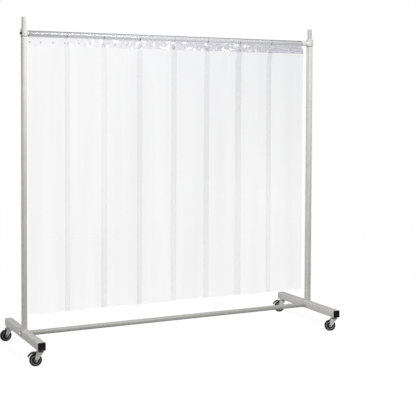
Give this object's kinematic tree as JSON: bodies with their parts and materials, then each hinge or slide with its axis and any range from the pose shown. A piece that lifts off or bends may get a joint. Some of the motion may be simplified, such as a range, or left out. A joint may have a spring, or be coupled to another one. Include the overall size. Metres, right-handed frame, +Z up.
{
  "type": "welding curtain screen",
  "caption": "Mobile welding screen: castor feet, telescopic posts and a top rail with overlapping clear PVC strips that swing.",
  "frame": {"origin": "on the floor under the middle of the object's box", "axes": "+X along the screen from the left foot to the right foot, -Y towards the front, +Z up"},
  "size_m": [2.3244, 0.8038, 2.218],
  "materials": {
    "powder_coat": "satin powder coat, light warm grey",
    "collar_coat": "satin powder coat, slightly lighter grey",
    "grey_cap": "moulded grey plastic",
    "black_plastic": "moulded black plastic",
    "fastener_steel": "zinc plated steel",
    "zinc_plate": "zinc plated pressed steel",
    "wheel_plastic": "dark moulded plastic",
    "tyre_rubber": "black rubber",
    "clear_pvc": "clear flexible sheet with a faint blue tint"
  },
  "bodies": {
    "frame": {"foot_tube_left": "powder_coat", "foot_tube_right": "powder_coat", "lower_post_left": "powder_coat", "lower_post_right": "powder_coat", "post_guide_left": "black_plastic", "post_guide_right": "black_plastic", "upper_post_left": "powder_coat", "upper_post_right": "powder_coat", "upper_post_cap_left": "grey_cap", "upper_post_cap_right": "grey_cap", "bottom_rail_plug_left": "fastener_steel", "bottom_rail_plug_right": "fastener_steel", "foot_bolt_left": "fastener_steel", "foot_bolt_right": "fastener_steel", "foot_cap_front_left": "black_plastic", "foot_cap_back_left": "black_plastic", "foot_cap_front_right": "black_plastic", "foot_cap_back_right": "black_plastic", "bottom_rail_tube": "powder_coat", "castor_mount_front_left": "zinc_plate", "castor_mount_back_left": "zinc_plate", "castor_mount_front_right": "zinc_plate", "castor_mount_back_right": "zinc_plate"},
    "top_rail": {"rail_collar_left": "collar_coat", "rail_collar_right": "collar_coat", "collar_clamp_screw_left": "fastener_steel", "collar_clamp_screw_right": "fastener_steel", "rail_spigot_left": "fastener_steel", "rail_spigot_right": "fastener_steel", "top_rail_tube": "powder_coat"},
    "strip_1": {"curtain_strip_1": "clear_pvc"},
    "strip_2": {"curtain_strip_2": "clear_pvc"},
    "strip_3": {"curtain_strip_3": "clear_pvc"},
    "strip_4": {"curtain_strip_4": "clear_pvc"},
    "strip_5": {"curtain_strip_5": "clear_pvc"},
    "strip_6": {"curtain_strip_6": "clear_pvc"},
    "strip_7": {"curtain_strip_7": "clear_pvc"},
    "strip_8": {"curtain_strip_8": "clear_pvc"},
    "castor_front_left": {"castor_fork_front_left": "zinc_plate", "castor_axle_front_left": "fastener_steel"},
    "wheel_front_left": {"castor_wheel_front_left": "wheel_plastic", "castor_tyre_front_left": "tyre_rubber"},
    "brake_front_left": {"castor_brake_pedal_front_left": "zinc_plate"},
    "castor_back_left": {"castor_fork_back_left": "zinc_plate", "castor_axle_back_left": "fastener_steel"},
    "wheel_back_left": {"castor_wheel_back_left": "wheel_plastic", "castor_tyre_back_left": "tyre_rubber"},
    "castor_front_right": {"castor_fork_front_right": "zinc_plate", "castor_axle_front_right": "fastener_steel"},
    "wheel_front_right": {"castor_wheel_front_right": "wheel_plastic", "castor_tyre_front_right": "tyre_rubber"},
    "castor_back_right": {"castor_fork_back_right": "zinc_plate", "castor_axle_back_right": "fastener_steel"},
    "wheel_back_right": {"castor_wheel_back_right": "wheel_plastic", "castor_tyre_back_right": "tyre_rubber"},
    "brake_back_right": {"castor_brake_pedal_back_right": "zinc_plate"}
  },
  "joints": [
    {"name": "top_rail_height", "type": "slide", "parent": "frame", "child": "top_rail", "axis": [0, 0, 1], "range_m": [0, 0.07]},
    {"name": "strip_1_swing", "type": "hinge", "parent": "top_rail", "child": "strip_1", "pos_m": [-0.918, 0, 2.111], "axis": [1, 0, 0], "range_deg": [0, 60]},
    {"name": "strip_2_swing", "type": "hinge", "parent": "top_rail", "child": "strip_2", "pos_m": [-0.655, 0, 2.111], "axis": [-1, 0, 0], "range_deg": [0, 60]},
    {"name": "strip_3_swing", "type": "hinge", "parent": "top_rail", "child": "strip_3", "pos_m": [-0.392, 0, 2.111], "axis": [1, 0, 0], "range_deg": [0, 60]},
    {"name": "strip_4_swing", "type": "hinge", "parent": "top_rail", "child": "strip_4", "pos_m": [-0.129, 0, 2.111], "axis": [-1, 0, 0], "range_deg": [0, 60]},
    {"name": "strip_5_swing", "type": "hinge", "parent": "top_rail", "child": "strip_5", "pos_m": [0.134, 0, 2.111], "axis": [1, 0, 0], "range_deg": [0, 60]},
    {"name": "strip_6_swing", "type": "hinge", "parent": "top_rail", "child": "strip_6", "pos_m": [0.397, 0, 2.111], "axis": [-1, 0, 0], "range_deg": [0, 60]},
    {"name": "strip_7_swing", "type": "hinge", "parent": "top_rail", "child": "strip_7", "pos_m": [0.66, 0, 2.111], "axis": [1, 0, 0], "range_deg": [0, 60]},
    {"name": "strip_8_swing", "type": "hinge", "parent": "top_rail", "child": "strip_8", "pos_m": [0.923, 0, 2.111], "axis": [-1, 0, 0], "range_deg": [0, 60]},
    {"name": "castor_front_left_swivel", "type": "hinge", "parent": "frame", "child": "castor_front_left", "pos_m": [-1.08, -0.362, 0.102], "axis": [0, 0, 1], "continuous": true},
    {"name": "wheel_front_left_spin", "type": "hinge", "parent": "castor_front_left", "child": "wheel_front_left", "pos_m": [-1.10934, -0.35576, 0.04], "axis": [0.2079, 0.9781, 0], "continuous": true},
    {"name": "brake_pedal_front_left", "type": "hinge", "parent": "castor_front_left", "child": "brake_front_left", "pos_m": [-1.10641, -0.35639, 0.0865], "axis": [0.2079, 0.9781, 0], "range_deg": [0, 15]},
    {"name": "castor_back_left_swivel", "type": "hinge", "parent": "frame", "child": "castor_back_left", "pos_m": [-1.08, 0.362, 0.102], "axis": [0, 0, 1], "continuous": true},
    {"name": "wheel_back_left_spin", "type": "hinge", "parent": "castor_back_left", "child": "wheel_back_left", "pos_m": [-1.10984, 0.35886, 0.04], "axis": [-0.1045, 0.9945, 0], "continuous": true},
    {"name": "castor_front_right_swivel", "type": "hinge", "parent": "frame", "child": "castor_front_right", "pos_m": [1.13, -0.362, 0.102], "axis": [0, 0, 1], "continuous": true},
    {"name": "wheel_front_right_spin", "type": "hinge", "parent": "castor_front_right", "child": "wheel_front_right", "pos_m": [1.10304, -0.34885, 0.04], "axis": [0.4384, 0.8988, 0], "continuous": true},
    {"name": "castor_back_right_swivel", "type": "hinge", "parent": "frame", "child": "castor_back_right", "pos_m": [1.13, 0.362, 0.102], "axis": [0, 0, 1], "continuous": true},
    {"name": "wheel_back_right_spin", "type": "hinge", "parent": "castor_back_right", "child": "wheel_back_right", "pos_m": [1.10304, 0.37515, 0.04], "axis": [0.4384, 0.8988, 0], "continuous": true},
    {"name": "brake_pedal_back_right", "type": "hinge", "parent": "castor_back_right", "child": "brake_back_right", "pos_m": [1.10573, 0.37384, 0.0865], "axis": [0.4384, 0.8988, 0], "range_deg": [0, 15]}
  ]
}
